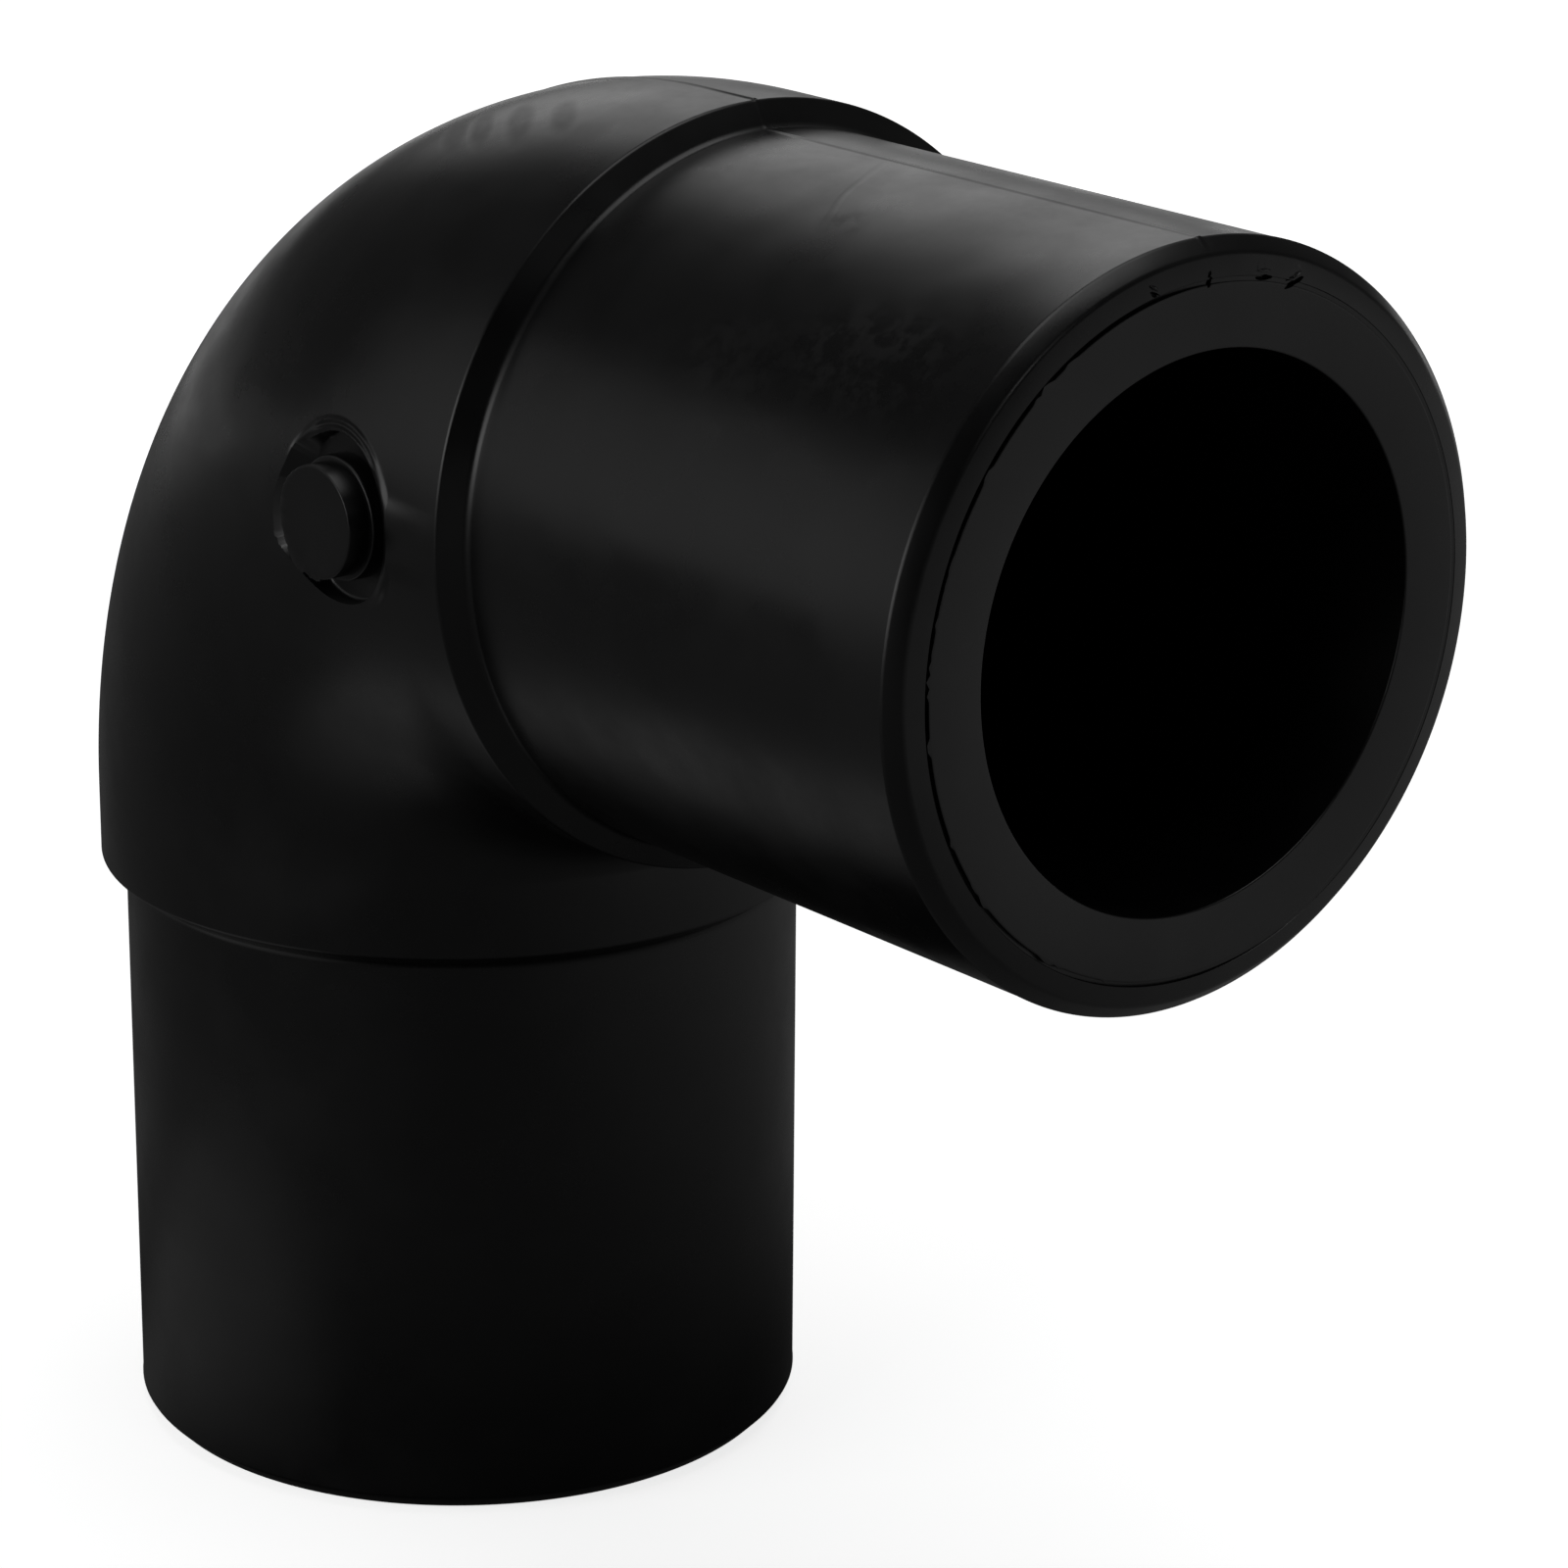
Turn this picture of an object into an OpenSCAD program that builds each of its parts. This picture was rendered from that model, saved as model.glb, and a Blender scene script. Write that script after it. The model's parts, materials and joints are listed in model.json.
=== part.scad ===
// Long-spigot 90 degree pipe elbow, injection moulded in black polyethylene as one piece.
// The origin is the centre of the lower end face, +Z runs up the lower leg and the side leg leaves along +X.

/* [Spigots] */
// Outside diameter of both spigots, the pipe size
spigot_od = 90; // [75:1:160]
// Wall of the spigots; the bore keeps this wall's size all the way through
wall = 12.3; // [6:0.1:16]
// Length of each spigot, from its end face to the face of the body's shoulder
spigot_len = 79; // [50:1:200]

/* [Body] */
// Height of the shoulder, where the body stands proud of the spigots
shoulder_h = 3.25; // [2.65:0.05:6]
// Straight part of the body at each side of the bend
collar_len = 9.5; // [4:0.5:40]
// Radius of the body's inside corner
throat_r = 3.75; // [2:0.25:80]
// Rounding of the shoulder's outer edge
shoulder_edge_r = 0.6; // [0.2:0.1:1.2]
// Fillet between a spigot and the shoulder's face
root_fillet_r = 2; // [0.5:0.1:2.6]

/* [Trimmed ends] */
// Height of the outer bevel, from the barrel inwards
rim_bevel_h = 1.5; // [0.5:0.1:2.5]
// Length of both bevels together along the axis
rim_bevel_len = 2.4; // [1.2:0.1:5]
// Height of the shallow inner bevel
face_bevel_h = 3; // [1:0.1:4]
// Depth of the shallow inner bevel along the axis
face_bevel_len = 0.65; // [0.2:0.05:1]
// Width of the tool groove round the faced end
face_groove_w = 0.5; // [0.3:0.1:1]
// Depth of the tool groove below the end face
face_groove_d = 0.7; // [0.4:0.1:2]

/* [Mould marks] */
// Diameter of the round recess that the gate stands in
gate_recess_d = 21.2; // [18:0.1:30]
// Depth of the recess below the crest of the body's side
gate_recess_depth = 3; // [1:0.1:4]
// Diameter of the cut gate stub
gate_stub_d = 14; // [8:0.1:15]
// How far the stub is proud of the crest of the body's side
gate_stub_h = 2.7; // [0:0.1:6]
// Diameter of the thicker foot of the stub
gate_foot_d = 15.4; // [15.1:0.1:17]
// Height of that foot above the recess floor
gate_foot_h = 2.5; // [0.3:0.1:3.5]
// Width of the lip that the gate's ring pushed up round the recess
gate_lip_w = 0.7; // [0.4:0.1:2]
// Height of that lip above the body
gate_lip_h = 0.25; // [0.1:0.05:0.6]
// Place of the gate round the bend, from the lower leg
gate_angle = 77.7; // [20:0.1:80]
// Distance of the gate outside the bend's centre line
gate_offset = 1.2; // [0:0.1:4]
// Width of the raised parting line at its foot
parting_w = 0.8; // [0.4:0.1:2]
// Height of the parting line above the body
parting_h = 0.2; // [0.1:0.05:0.5]

/* [Hidden] */
$fn = 96;
black_pe = [0.05, 0.05, 0.055];
// What meets at the ends of the bend lies on a grid of 1/1024 mm, so that the faces there have the very same place
grid = 1 / 1024;
function on_grid(size) = round(size / grid) * grid;
spigot_r = on_grid(spigot_od / 2);
bore_r = on_grid(spigot_r - wall);
body_r = on_grid(spigot_r + shoulder_h);
bend_r = on_grid(body_r + throat_r);
leg_len = on_grid(spigot_len + collar_len);
centre_to_face = leg_len + bend_r;
face_r = spigot_r - rim_bevel_h - face_bevel_h;
gate_x = bend_r - (bend_r + gate_offset) * cos(gate_angle);
gate_z = leg_len + (bend_r + gate_offset) * sin(gate_angle);
gate_floor_y = body_r - gate_recess_depth;
// Cuts run this far past the skin that they open
past = 1;
// Solids that join reach this far into each other
lap = 0.5;
// The slopes of the parting line start this far under the skin
ridge_bury = 0.05;

// Half section of one leg: distance from the axis along x, distance from the end face along y.
module leg_section() {
    difference() {
        union() {
            polygon([
                [0, 0],
                [face_r, 0],
                [spigot_r - rim_bevel_h, face_bevel_len],
                [spigot_r, rim_bevel_len],
                [spigot_r, leg_len],
                [0, leg_len]
            ]);
            shoulder_section();
            root_fillet_section();
        }
        groove_section();
    }
}

// The straight collar with its rounded outer edge.
module shoulder_section() {
    translate([0, spigot_len + shoulder_edge_r])
        square([body_r, collar_len - shoulder_edge_r]);
    translate([0, spigot_len])
        square([body_r - shoulder_edge_r, collar_len]);
    translate([body_r - shoulder_edge_r, spigot_len + shoulder_edge_r])
        circle(r = shoulder_edge_r);
}

// The concave fillet that runs from the spigot into the shoulder's face.
module root_fillet_section() {
    difference() {
        translate([spigot_r - lap, spigot_len - root_fillet_r])
            square([root_fillet_r + lap, root_fillet_r + lap]);
        translate([spigot_r + root_fillet_r, spigot_len - root_fillet_r])
            circle(r = root_fillet_r);
    }
}

// The narrow groove that the facing tool leaves at the outer edge of the end face.
module groove_section() {
    translate([face_r - face_groove_w / 2, -past])
        square([face_groove_w, face_groove_d + past]);
}

// One leg, turned about +Z with its end face at z = 0.
module leg() {
    rotate_extrude()
        leg_section();
}

// Puts a leg made about +Z onto the side branch, with its end face at the far end of +X.
module on_side_branch() {
    translate([centre_to_face, 0, centre_to_face])
        rotate([0, -90, 0])
            children();
}

// Sweeps a section round the bend; the section's y runs across the bend, and x is measured from the bend's centre.
module round_the_bend() {
    translate([bend_r, 0, leg_len])
        rotate([90, 0, 0])
            rotate_extrude(angle = 90, start = 90)
                children();
}

// Solid body of the bend between the two collars.
module bend_body() {
    round_the_bend()
        translate([bend_r, 0])
            circle(r = body_r);
}

// Fine raised line where the two mould halves meet, round the back of the bend and along both collars.
module parting_line() {
    round_the_bend()
        translate([bend_r, 0])
            ridge_section();
    collar_ridge();
    on_side_branch()
        mirror([1, 0, 0])
            collar_ridge();
}

// Cross-section of the parting line, a low trapezium on the body's skin.
module ridge_section() {
    polygon([
        [body_r - lap, -parting_w / 2],
        [body_r - ridge_bury, -parting_w / 2],
        [body_r + parting_h, -parting_w / 4],
        [body_r + parting_h, parting_w / 4],
        [body_r - ridge_bury, parting_w / 2],
        [body_r - lap, parting_w / 2]
    ]);
}

// The parting line's straight stretch on a collar, at the outside of the bend.
module collar_ridge() {
    translate([0, 0, spigot_len + shoulder_edge_r])
        linear_extrude(collar_len - shoulder_edge_r)
            mirror([1, 0])
                ridge_section();
}

// Straight run of the bore in a leg.
module leg_bore() {
    translate([0, 0, -past])
        cylinder(r = bore_r, h = leg_len + past);
}

// The bore: two straight runs joined by a swept quarter turn of the same radius.
module bore() {
    leg_bore();
    round_the_bend()
        translate([bend_r, 0])
            circle(r = bore_r);
    on_side_branch()
        leg_bore();
}

// Puts a shape made about +Z onto the gate's axis, with z = 0 at the recess floor and +Z out of the body.
module at_gate() {
    translate([gate_x, -gate_floor_y, gate_z])
        rotate([90, 0, 0])
            children();
}

// Round recess in the flank of the bend.
module gate_recess() {
    at_gate()
        cylinder(d = gate_recess_d, h = gate_recess_depth + past);
}

// Cut stub of the gate, standing on its thicker foot.
module gate_stub() {
    at_gate()
        translate([0, 0, -lap]) {
            cylinder(d = gate_stub_d, h = gate_recess_depth + gate_stub_h + lap);
            cylinder(d = gate_foot_d, h = gate_foot_h + lap);
        }
}

// Low lip round the recess, which follows the curved flank of the bend.
module gate_lip() {
    intersection() {
        at_gate()
            cylinder(d = gate_recess_d + 2 * gate_lip_w, h = gate_recess_depth + past);
        union() {
            round_the_bend()
                translate([bend_r, 0])
                    circle(r = body_r + gate_lip_h);
            on_side_branch()
                translate([0, 0, spigot_len + shoulder_edge_r])
                    cylinder(r = body_r + gate_lip_h, h = collar_len - shoulder_edge_r);
        }
    }
}

// The whole elbow, one moulding.
module elbow() {
    color(black_pe)
        difference() {
            union() {
                difference() {
                    union() {
                        leg();
                        bend_body();
                        on_side_branch()
                            leg();
                        parting_line();
                        gate_lip();
                    }
                    gate_recess();
                }
                gate_stub();
            }
            bore();
        }
}

elbow();
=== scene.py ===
"""Visual model of a long-spigot pipe elbow, one moulding in black polyethylene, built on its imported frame."""

import json
import logging
import math
import random
from dataclasses import dataclass, field
from enum import Enum
from typing import Callable

import bpy
from mathutils import Euler, Matrix, Vector


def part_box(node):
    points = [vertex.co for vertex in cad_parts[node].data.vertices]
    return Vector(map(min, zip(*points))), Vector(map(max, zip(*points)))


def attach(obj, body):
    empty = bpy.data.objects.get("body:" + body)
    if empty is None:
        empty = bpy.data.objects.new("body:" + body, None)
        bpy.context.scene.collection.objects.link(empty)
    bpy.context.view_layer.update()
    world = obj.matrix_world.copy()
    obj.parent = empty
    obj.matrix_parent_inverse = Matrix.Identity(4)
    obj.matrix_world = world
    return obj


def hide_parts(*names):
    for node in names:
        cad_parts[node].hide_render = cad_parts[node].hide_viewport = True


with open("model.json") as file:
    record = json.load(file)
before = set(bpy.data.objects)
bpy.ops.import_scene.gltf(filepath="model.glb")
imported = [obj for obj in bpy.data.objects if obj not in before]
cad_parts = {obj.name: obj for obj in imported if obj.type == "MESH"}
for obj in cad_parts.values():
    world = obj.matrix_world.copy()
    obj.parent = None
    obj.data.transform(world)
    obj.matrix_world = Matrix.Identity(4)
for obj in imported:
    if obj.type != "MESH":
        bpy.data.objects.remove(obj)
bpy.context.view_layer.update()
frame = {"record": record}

LOG = logging.getLogger("pipe_elbow")
MM = 0.001
# A vertex this near to a level counts as lying on it
LEVEL = 0.1 * MM
Point = tuple[float, float]
Place = tuple[float, float, float]
Section = list[Point]
Socket = bpy.types.NodeSocket
Input = Socket | float


class Leg(Enum):
    """One of the elbow's two legs."""

    LOWER = 0
    SIDE = 1


class Boolean(Enum):
    """What a boolean does with its tool."""

    JOIN = "UNION"
    CUT = "DIFFERENCE"


def select_none() -> None:
    """Deselect every object and leave edit mode."""
    if bpy.context.object and bpy.context.object.mode != "OBJECT":
        bpy.ops.object.mode_set(mode="OBJECT")
    bpy.ops.object.select_all(action="DESELECT")


def make_active(piece: bpy.types.Object) -> None:
    """Make one object the only selected and active one.

    Args:
        piece: The object to work on.
    """
    select_none()
    piece.select_set(True)
    bpy.context.view_layer.objects.active = piece


def apply_place(piece: bpy.types.Object) -> None:
    """Move an object's place, turn and scale into its mesh.

    Args:
        piece: The finished object.
    """
    make_active(piece)
    bpy.ops.object.transform_apply(location=True, rotation=True, scale=True)


def pick(piece: bpy.types.Object, test: Callable[[Vector], bool]) -> int:
    """Enter edit mode with only the vertices that pass a test selected.

    Args:
        piece: The object to edit.
        test: Tells from a vertex's place whether it is picked.

    Returns:
        The number of picked vertices.
    """
    make_active(piece)
    bpy.ops.object.mode_set(mode="EDIT")
    bpy.ops.mesh.select_mode(type="VERT")
    bpy.ops.mesh.select_all(action="DESELECT")
    bpy.ops.object.mode_set(mode="OBJECT")
    count = 0
    for vertex in piece.data.vertices:
        vertex.select = test(vertex.co)
        count += vertex.select
    bpy.ops.object.mode_set(mode="EDIT")
    return count


def push(piece: bpy.types.Object, direction: str, reach: float, weight: Callable[[Vector], float]) -> None:
    """Push a mesh's vertices by a weighted displacement.

    Args:
        piece: The object to change.
        direction: NORMAL, or the axis X, Y or Z.
        reach: How far a vertex with weight 1 moves.
        weight: Gives a vertex's weight, 0 to 1, from its place.
    """
    group = piece.vertex_groups.new(name="push")
    for vertex in piece.data.vertices:
        amount = weight(vertex.co)
        if amount > 0:
            group.add([vertex.index], min(amount, 1.0), "REPLACE")
    make_active(piece)
    bpy.ops.object.modifier_add(type="DISPLACE")
    modifier = piece.modifiers[-1]
    modifier.direction = direction
    modifier.strength = reach
    modifier.mid_level = 0.0
    modifier.vertex_group = group.name
    bpy.ops.object.modifier_apply(modifier=modifier.name)
    piece.vertex_groups.clear()


def combine(piece: bpy.types.Object, tool: bpy.types.Object, use: Boolean) -> None:
    """Apply a boolean of two closed meshes and delete the tool.

    Args:
        piece: The mesh that stays.
        tool: The other mesh.
        use: Whether it is joined or cut away.
    """
    make_active(piece)
    bpy.ops.object.modifier_add(type="BOOLEAN")
    modifier = piece.modifiers[-1]
    modifier.object = tool
    modifier.operation = use.value
    modifier.solver = "EXACT"
    bpy.ops.object.modifier_apply(modifier=modifier.name)
    make_active(tool)
    bpy.ops.object.delete()


def bump(offset: float, half_width: float) -> float:
    """Height of a smooth bump, 1 at its middle and 0 from its half width on."""
    part = abs(offset) / half_width
    return 0.5 + 0.5 * math.cos(math.pi * part) if part < 1 else 0.0


def ease(value: float, start: float, end: float) -> float:
    """Smooth step of a value from 0 at the start to 1 at the end."""
    part = min(max((value - start) / (end - start), 0.0), 1.0)
    return part * part * (3 - 2 * part)


def arc(centre: Point, radius: float, start: float, end: float, steps: int) -> Section:
    """Points of an arc in a section.

    Args:
        centre: Radius and station of the arc's centre.
        radius: Radius of the arc.
        start: First angle in degrees.
        end: Last angle in degrees.
        steps: Number of chords.

    Returns:
        Radius and station of each point, both ends included.
    """
    angles = [math.radians(start + (end - start) * i / steps) for i in range(steps + 1)]
    return [(centre[0] + radius * math.cos(a), centre[1] + radius * math.sin(a)) for a in angles]


def rounded(before: Point, corner: Point, after: Point, radius: float, steps: int) -> Section:
    """Points of the arc that rounds a corner of a section.

    Args:
        before: The section's point before the corner.
        corner: The sharp corner.
        after: The section's point after it.
        radius: Radius of the rounding.
        steps: Number of chords.

    Returns:
        Radius and station of each point, both ends included.
    """
    tip = Vector(corner)
    back = (Vector(before) - tip).normalized()
    ahead = (Vector(after) - tip).normalized()
    half = back.angle(ahead) / 2
    centre = tip + (back + ahead).normalized() * radius / math.sin(half)
    first = tip + back * radius / math.tan(half) - centre
    turn = first.angle_signed(tip + ahead * radius / math.tan(half) - centre)
    spokes = [Matrix.Rotation(-turn * step / steps, 2) @ first for step in range(steps + 1)]
    return [tuple(centre + spoke) for spoke in spokes]


@dataclass
class ElbowSizes:
    """Sizes of the elbow, most of them read from the frame, in metres."""

    spigot_r: float
    bore_r: float
    body_r: float
    leg_len: float
    centre_to_face: float
    shoulder_edge_r: float = 0.6 * MM
    shoulder_slope: float = 2.05 * MM
    root_fillet_r: float = 1.3 * MM
    collar_len: float = 9.5 * MM
    rim_bevel_h: float = 1.5 * MM
    rim_bevel_len: float = 2.4 * MM
    face_bevel_h: float = 3.0 * MM
    face_bevel_len: float = 0.65 * MM
    groove_w: float = 0.5 * MM
    groove_d: float = 0.7 * MM
    edge_r: float = 0.25 * MM

    @classmethod
    def from_frame(cls) -> "ElbowSizes":
        """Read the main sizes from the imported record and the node's box.

        Returns:
            The filled-in sizes.
        """
        mounts = {mount["name"]: mount for mount in frame["record"]["mounts"]}
        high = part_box("elbow")[1]
        return cls(
            spigot_r=mounts["side_spigot"]["dims"]["r_mm"] * MM,
            bore_r=mounts["side_bore"]["dims"]["r_mm"] * MM,
            body_r=high[1],
            leg_len=mounts["side_bore"]["dims"]["length_mm"] * MM,
            centre_to_face=high[0] - 0.001 * MM,
        )

    @property
    def bend_r(self) -> float:
        """Radius of the bend's centre line."""
        return self.centre_to_face - self.leg_len

    @property
    def spigot_len(self) -> float:
        """Length of a spigot from its end face to the shoulder."""
        return self.leg_len - self.collar_len

    @property
    def face_r(self) -> float:
        """Outer radius of the faced end."""
        return self.spigot_r - self.rim_bevel_h - self.face_bevel_h


@dataclass
class RingSkin:
    """A skin that grows ring by ring, by extruding and scaling its last ring."""

    sizes: ElbowSizes
    segments: int = 320
    parting_cuts: int = 3
    radius: float = field(init=False, default=0.0)

    def start(self, radius: float) -> None:
        """Add the first ring at the lower end face, finer where the mould parts.

        Args:
            radius: Radius of the ring.
        """
        select_none()
        bpy.ops.mesh.primitive_circle_add(
            vertices=self.segments, radius=radius, fill_type="NOTHING", location=(0, 0, 0)
        )
        ring = bpy.context.object
        ring.name = "elbow_skin"
        chord = 2 * math.pi * radius / self.segments
        pick(ring, lambda place: place.x < 0 and abs(place.y) < 1.5 * chord)
        bpy.ops.mesh.subdivide(number_cuts=self.parting_cuts)
        bpy.ops.mesh.select_all(action="SELECT")
        self.radius = radius

    def grow(self, leg: Leg, station: float, step: float, radius: float) -> None:
        """Extrude the last ring along a leg's axis and scale it.

        Args:
            leg: The leg that the skin grows along now.
            station: Where the new ring lies along that axis.
            step: Signed distance from the last ring to the new one.
            radius: Radius of the new ring.
        """
        scale = radius / self.radius
        if leg is Leg.LOWER:
            move, centre, size = (0, 0, step), (0, 0, station), (scale, scale, 1)
        else:
            move, centre, size = (step, 0, 0), (station, 0, self.sizes.centre_to_face), (1, scale, scale)
        bpy.ops.mesh.extrude_region_move(TRANSFORM_OT_translate={"value": move})
        bpy.ops.transform.resize(value=size, center_override=centre)
        self.radius = radius

    def follow(self, leg: Leg, section: Section, station: float) -> float:
        """Grow along a section.

        Args:
            leg: The leg that the skin grows along now.
            section: Radius and station of each ring.
            station: Where the last ring lies now.

        Returns:
            The station of the last ring.
        """
        for radius, place in section:
            self.grow(leg, place, place - station, radius)
            station = place
        return station

    def bend(self, towards: Leg, steps: int) -> None:
        """Spin the last ring round the bend.

        Args:
            towards: The leg that the spin ends at.
            steps: Number of rings.
        """
        centre = (self.sizes.bend_r, 0, self.sizes.leg_len)
        angle = -math.pi / 2 if towards is Leg.SIDE else math.pi / 2
        bpy.ops.mesh.spin(steps=steps, angle=angle, center=centre, axis=(0, 1, 0))


@dataclass(frozen=True)
class Ridge:
    """A low ridge round the gate's axis, whose height is a share of the lip's."""

    middle: float
    half_width: float
    share: float

    def at(self, radius: float) -> float:
        """Height of the ridge at a distance from the axis, as a share of the lip's."""
        return self.share * bump(radius - self.middle, self.half_width)


@dataclass
class Gate:
    """The mould's gate mark: a lip, a round recess and the cut stub on its foot."""

    sizes: ElbowSizes
    place: Point = (40.7 * MM, 140.46 * MM)
    flank_y: float = -34 * MM
    outside_y: float = -60 * MM
    segments: int = 144
    recess_r: float = 10.6 * MM
    recess_depth: float = 3.0 * MM
    floor_fillet: float = 0.5 * MM
    lean_steps: int = 16
    lean_floor: float = 0.80
    lean_top: float = 3.0
    foot_r: float = 7.7 * MM
    foot_h: float = 2.5 * MM
    foot_edge: float = 0.22 * MM
    stub_r: float = 7.0 * MM
    stub_h: float = 2.55 * MM
    stub_edge: float = 0.16 * MM
    face_rings: tuple[float, ...] = (0.35 * MM, 0.9 * MM, 1.3 * MM, 1.5 * MM)
    face_sink: float = 0.14 * MM
    lap: float = 1.0 * MM
    lip_h: float = 0.30 * MM
    lip_band: Point = (9.2 * MM, 13.6 * MM)
    refined_r: float = 14.6 * MM
    wide_ridge: Ridge = Ridge(11.45 * MM, 1.05 * MM, 1.0)
    split_ridges: tuple[Ridge, Ridge] = (Ridge(10.85 * MM, 0.42 * MM, 0.9), Ridge(11.85 * MM, 0.5 * MM, 0.9))
    torn_rims: tuple[Point, ...] = ((128, 268), (140, 258), (152, 248))
    torn_scale: float = 1.018
    torn_bits: tuple[Point, ...] = (
        (208.0, 0.28),
        (221.0, 0.5),
        (232.0, 0.62),
        (243.0, 0.45),
        (261.0, 0.3),
        (270.0, 0.38),
        (188.0, 0.22),
        (172.0, 0.2),
    )
    seed: int = 7

    @property
    def floor_y(self) -> float:
        """Where the recess's floor lies."""
        return self.recess_depth - self.sizes.body_r

    @property
    def top_y(self) -> float:
        """Where the stub's cut face lies."""
        return -(self.sizes.body_r + self.stub_h)

    def polar(self, place: Vector) -> Point:
        """Distance and angle of a place about the gate's axis.

        Args:
            place: A place on the skin.

        Returns:
            The distance in metres, and the angle in degrees from +X towards +Z.
        """
        across = place.x - self.place[0]
        up = place.z - self.place[1]
        return math.hypot(across, up), math.degrees(math.atan2(up, across))

    def near(self, place: Vector, inner: float, outer: float) -> bool:
        """Tell whether a place on the gate's flank lies in a ring round its axis."""
        return place.y < self.flank_y and inner < self.polar(place)[0] < outer

    def refine(self, piece: bpy.types.Object) -> None:
        """Subdivide the skin where the lip is raised.

        Args:
            piece: The elbow's skin.
        """
        pick(piece, lambda place: self.near(place, 0.0, self.refined_r))
        bpy.ops.mesh.subdivide(number_cuts=1, smoothness=1.0)
        pick(piece, lambda place: self.near(place, *self.lip_band))
        bpy.ops.mesh.subdivide(number_cuts=2, smoothness=1.0)
        bpy.ops.object.mode_set(mode="OBJECT")

    def lip(self, place: Vector) -> float:
        """Height of the lip, which splits into two ridges above the recess.

        Args:
            place: A place on the skin.

        Returns:
            The height at that place, in metres.
        """
        if not self.near(place, *self.lip_band):
            return 0.0
        radius, angle = self.polar(place)
        there = ease(angle, -60, -30) * (1 - ease(angle, 140, 158))
        split = ease(angle, 38, 55) * (1 - ease(angle, 108, 125))
        ragged = 1 + 0.18 * math.sin(math.radians(angle * 5 + 20)) + 0.10 * math.sin(math.radians(angle * 17))
        double = max(ridge.at(radius) for ridge in self.split_ridges)
        return self.lip_h * there * ragged * (self.wide_ridge.at(radius) * (1 - split) + double * split)

    def cylinder(self, name: str, radius: float, near_y: float, far_y: float) -> bpy.types.Object:
        """Add a round bar along the gate's axis.

        Args:
            name: Name of the bar.
            radius: Its radius.
            near_y: Where it ends inside the body.
            far_y: Where it ends outside.

        Returns:
            The bar's object.
        """
        select_none()
        middle = (self.place[0], (near_y + far_y) / 2, self.place[1])
        bpy.ops.mesh.primitive_cylinder_add(
            vertices=self.segments,
            radius=radius,
            depth=abs(far_y - near_y),
            location=middle,
            rotation=(math.pi / 2, 0, 0),
        )
        bar = bpy.context.object
        bar.name = name
        apply_place(bar)
        return bar

    def cutter(self) -> bpy.types.Object:
        """Build the recess's negative, with its wall leaning at one side and the floor's corner rounded.

        Returns:
            The cutter's object.
        """
        bar = self.cylinder("gate_cutter", self.recess_r, self.floor_y, self.outside_y)
        middle = (self.place[0], self.floor_y, self.place[1])
        for step in range(self.lean_steps):
            part = (step + 0.5) / self.lean_steps
            for at_floor, whole in ((True, self.lean_floor), (False, self.lean_top)):
                pick(bar, lambda place: self.on_floor(place) == at_floor and self.lean(place) > part)
                scale = whole ** (1 / self.lean_steps)
                bpy.ops.transform.resize(value=(scale, 1, scale), center_override=middle)
        pick(bar, self.on_floor)
        bpy.ops.mesh.bevel(offset=self.floor_fillet, segments=4, affect="EDGES")
        bpy.ops.object.mode_set(mode="OBJECT")
        return bar

    def on_floor(self, place: Vector) -> bool:
        """Tell whether a place of the cutter lies on the recess's floor."""
        return place.y > self.floor_y - LEVEL

    def lean(self, place: Vector) -> float:
        """How far the recess's wall leans at a place, 0 to 1: most at its left side."""
        angle = self.polar(place)[1] % 360
        return ease(angle, 88, 150) * (1 - ease(angle, 195, 250))

    def stub(self) -> bpy.types.Object:
        """Build the stub on its foot, with a slightly slanting, torn cut.

        Returns:
            The stub's object.
        """
        top_y = self.top_y
        foot_y = self.floor_y - self.foot_h
        shelf_r = 0.5 * (self.foot_r + self.stub_r)
        bar = self.cylinder("gate_stub", self.foot_r, self.floor_y + self.lap, foot_y)
        pick(bar, lambda place: place.y < foot_y + LEVEL)
        bpy.ops.mesh.inset(thickness=self.foot_r - self.stub_r, depth=0)
        bpy.ops.mesh.extrude_region_move(TRANSFORM_OT_translate={"value": (0, top_y - foot_y, 0)})
        pick(bar, lambda place: abs(place.y - foot_y) < LEVEL and self.polar(place)[0] > shelf_r)
        bpy.ops.mesh.bevel(offset=self.foot_edge, segments=3, affect="EDGES")
        pick(bar, lambda place: place.y < top_y + LEVEL)
        bpy.ops.mesh.bevel(offset=self.stub_edge, segments=3, affect="EDGES")
        pick(bar, lambda place: place.y < top_y + LEVEL / 10)
        for thickness in self.face_rings:
            bpy.ops.mesh.inset(thickness=thickness, depth=0)
        bpy.ops.mesh.poke()
        bpy.ops.object.mode_set(mode="OBJECT")
        push(bar, "Y", self.face_sink, self.sunk)
        self.tear(bar)
        return bar

    def sunk(self, place: Vector) -> float:
        """How far the cut face has sunk at a place, 0 to 1: a slant and two shallow dips.

        Args:
            place: A place on the stub.

        Returns:
            The weight of the push inwards.
        """
        if place.y > self.top_y + 0.5 * MM:
            return 0.0
        radius, angle = self.polar(place)
        slant = 0.35 + 0.35 * (place.x - self.place[0]) / self.stub_r
        dip = 0.5 * bump(radius - 4.6 * MM, 1.8 * MM) * max(bump(angle + 112, 26), bump(angle + 72, 20))
        return max(0.0, slant + dip)

    def on_edge(self, place: Vector, depth: float, low: float, high: float) -> bool:
        """Tell whether a place lies on the cut's outer edge.

        Args:
            place: A place on the stub.
            depth: How far the edge reaches below the cut face.
            low: Angle where the stretch starts, in degrees from 0 to 360.
            high: Angle where it ends.

        Returns:
            True inside the stretch.
        """
        radius, angle = self.polar(place)
        return place.y < self.top_y + depth and radius > self.stub_r - 0.25 * MM and low < angle % 360 < high

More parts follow.
